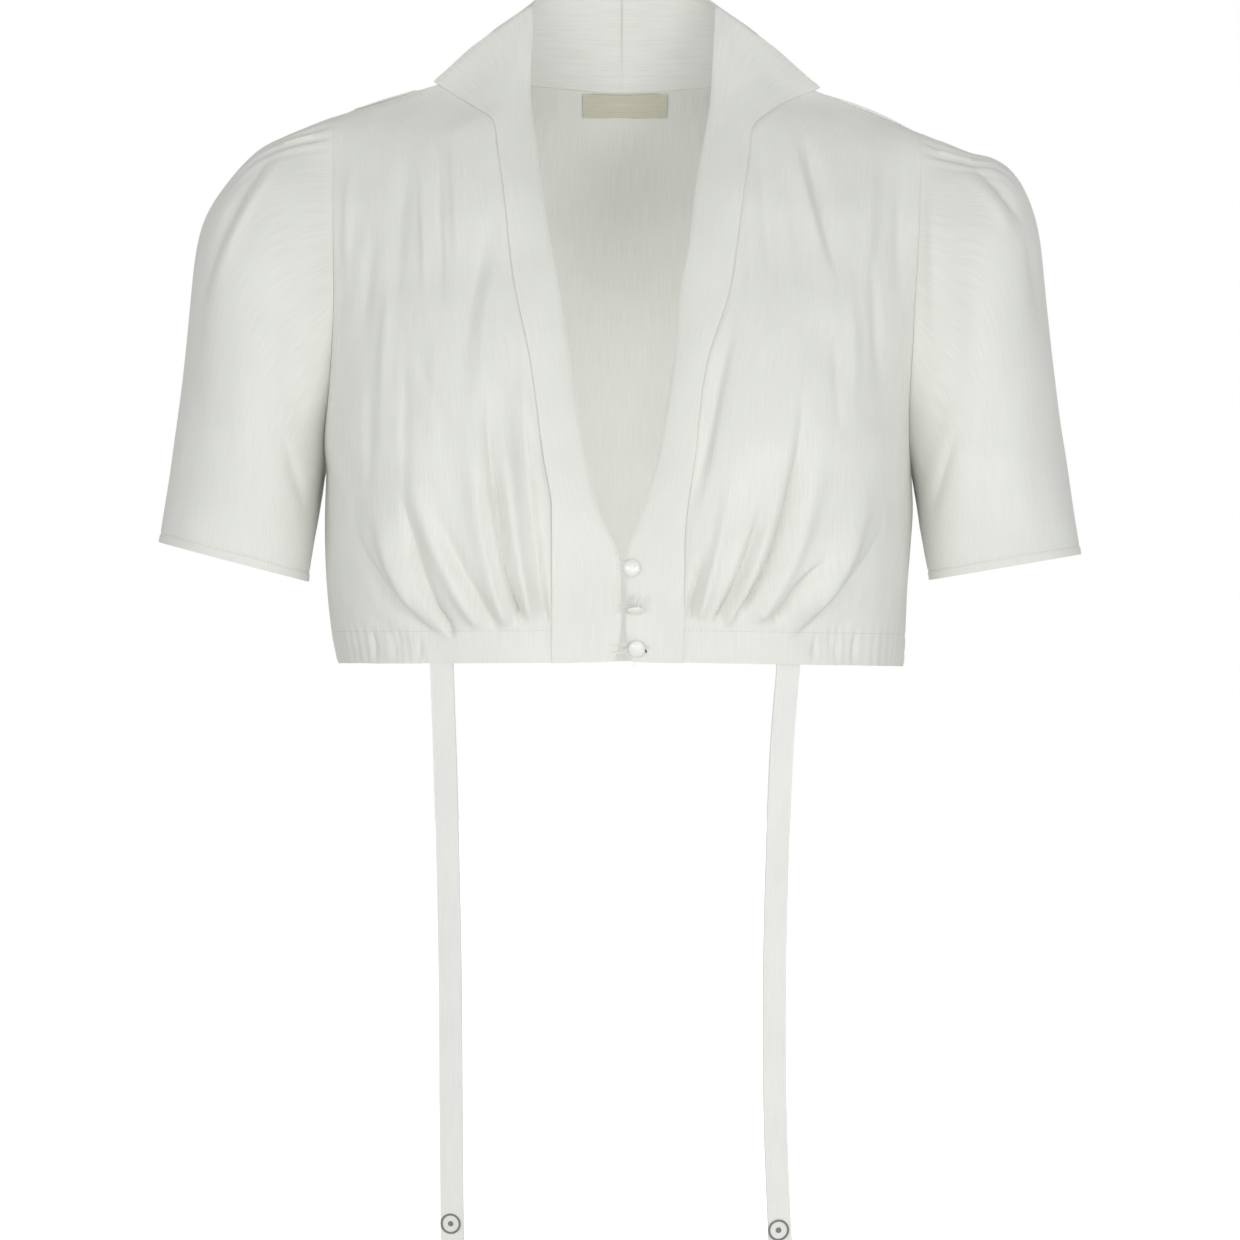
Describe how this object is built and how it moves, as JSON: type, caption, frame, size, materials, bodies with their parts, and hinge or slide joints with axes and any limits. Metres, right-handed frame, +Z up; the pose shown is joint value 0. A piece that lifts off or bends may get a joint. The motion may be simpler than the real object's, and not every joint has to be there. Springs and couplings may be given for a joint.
{
  "type": "dirndl blouse",
  "caption": "A short off-white dirndl blouse with half sleeves, a standing shawl collar, small shank buttons in cord loops and two flat ties, in its hollow worn form.",
  "frame": {"origin": "in the middle of the body, level with the neck ends of the shoulder seams, where the wearer's shoulders hold the blouse", "axes": "+Z up, -Y out of the buttoned front, +X to the viewer's right as the front is seen"},
  "size_m": [0.6086, 0.2426, 0.8395],
  "materials": {
    "cloth": "matte off-white crepe with fine upright slubs",
    "collar_cloth": "the same matte off-white crepe, doubled",
    "label": "plain woven beige",
    "button": "pearly white gloss",
    "cord": "satin round cord",
    "tie": "matte off-white tape"
  },
  "bodies": {
    "root": {"back": "cloth", "front_left": "cloth", "front_right": "cloth", "collar_left": "collar_cloth", "collar_right": "collar_cloth", "sleeve_left": "cloth", "sleeve_right": "cloth", "label": "label", "button_top": "button", "button_middle": "button", "button_bottom": "button", "loop_top": "cord", "loop_middle": "cord", "loop_bottom": "cord", "tie_left": "tie", "tie_right": "tie"}
  },
  "joints": []
}
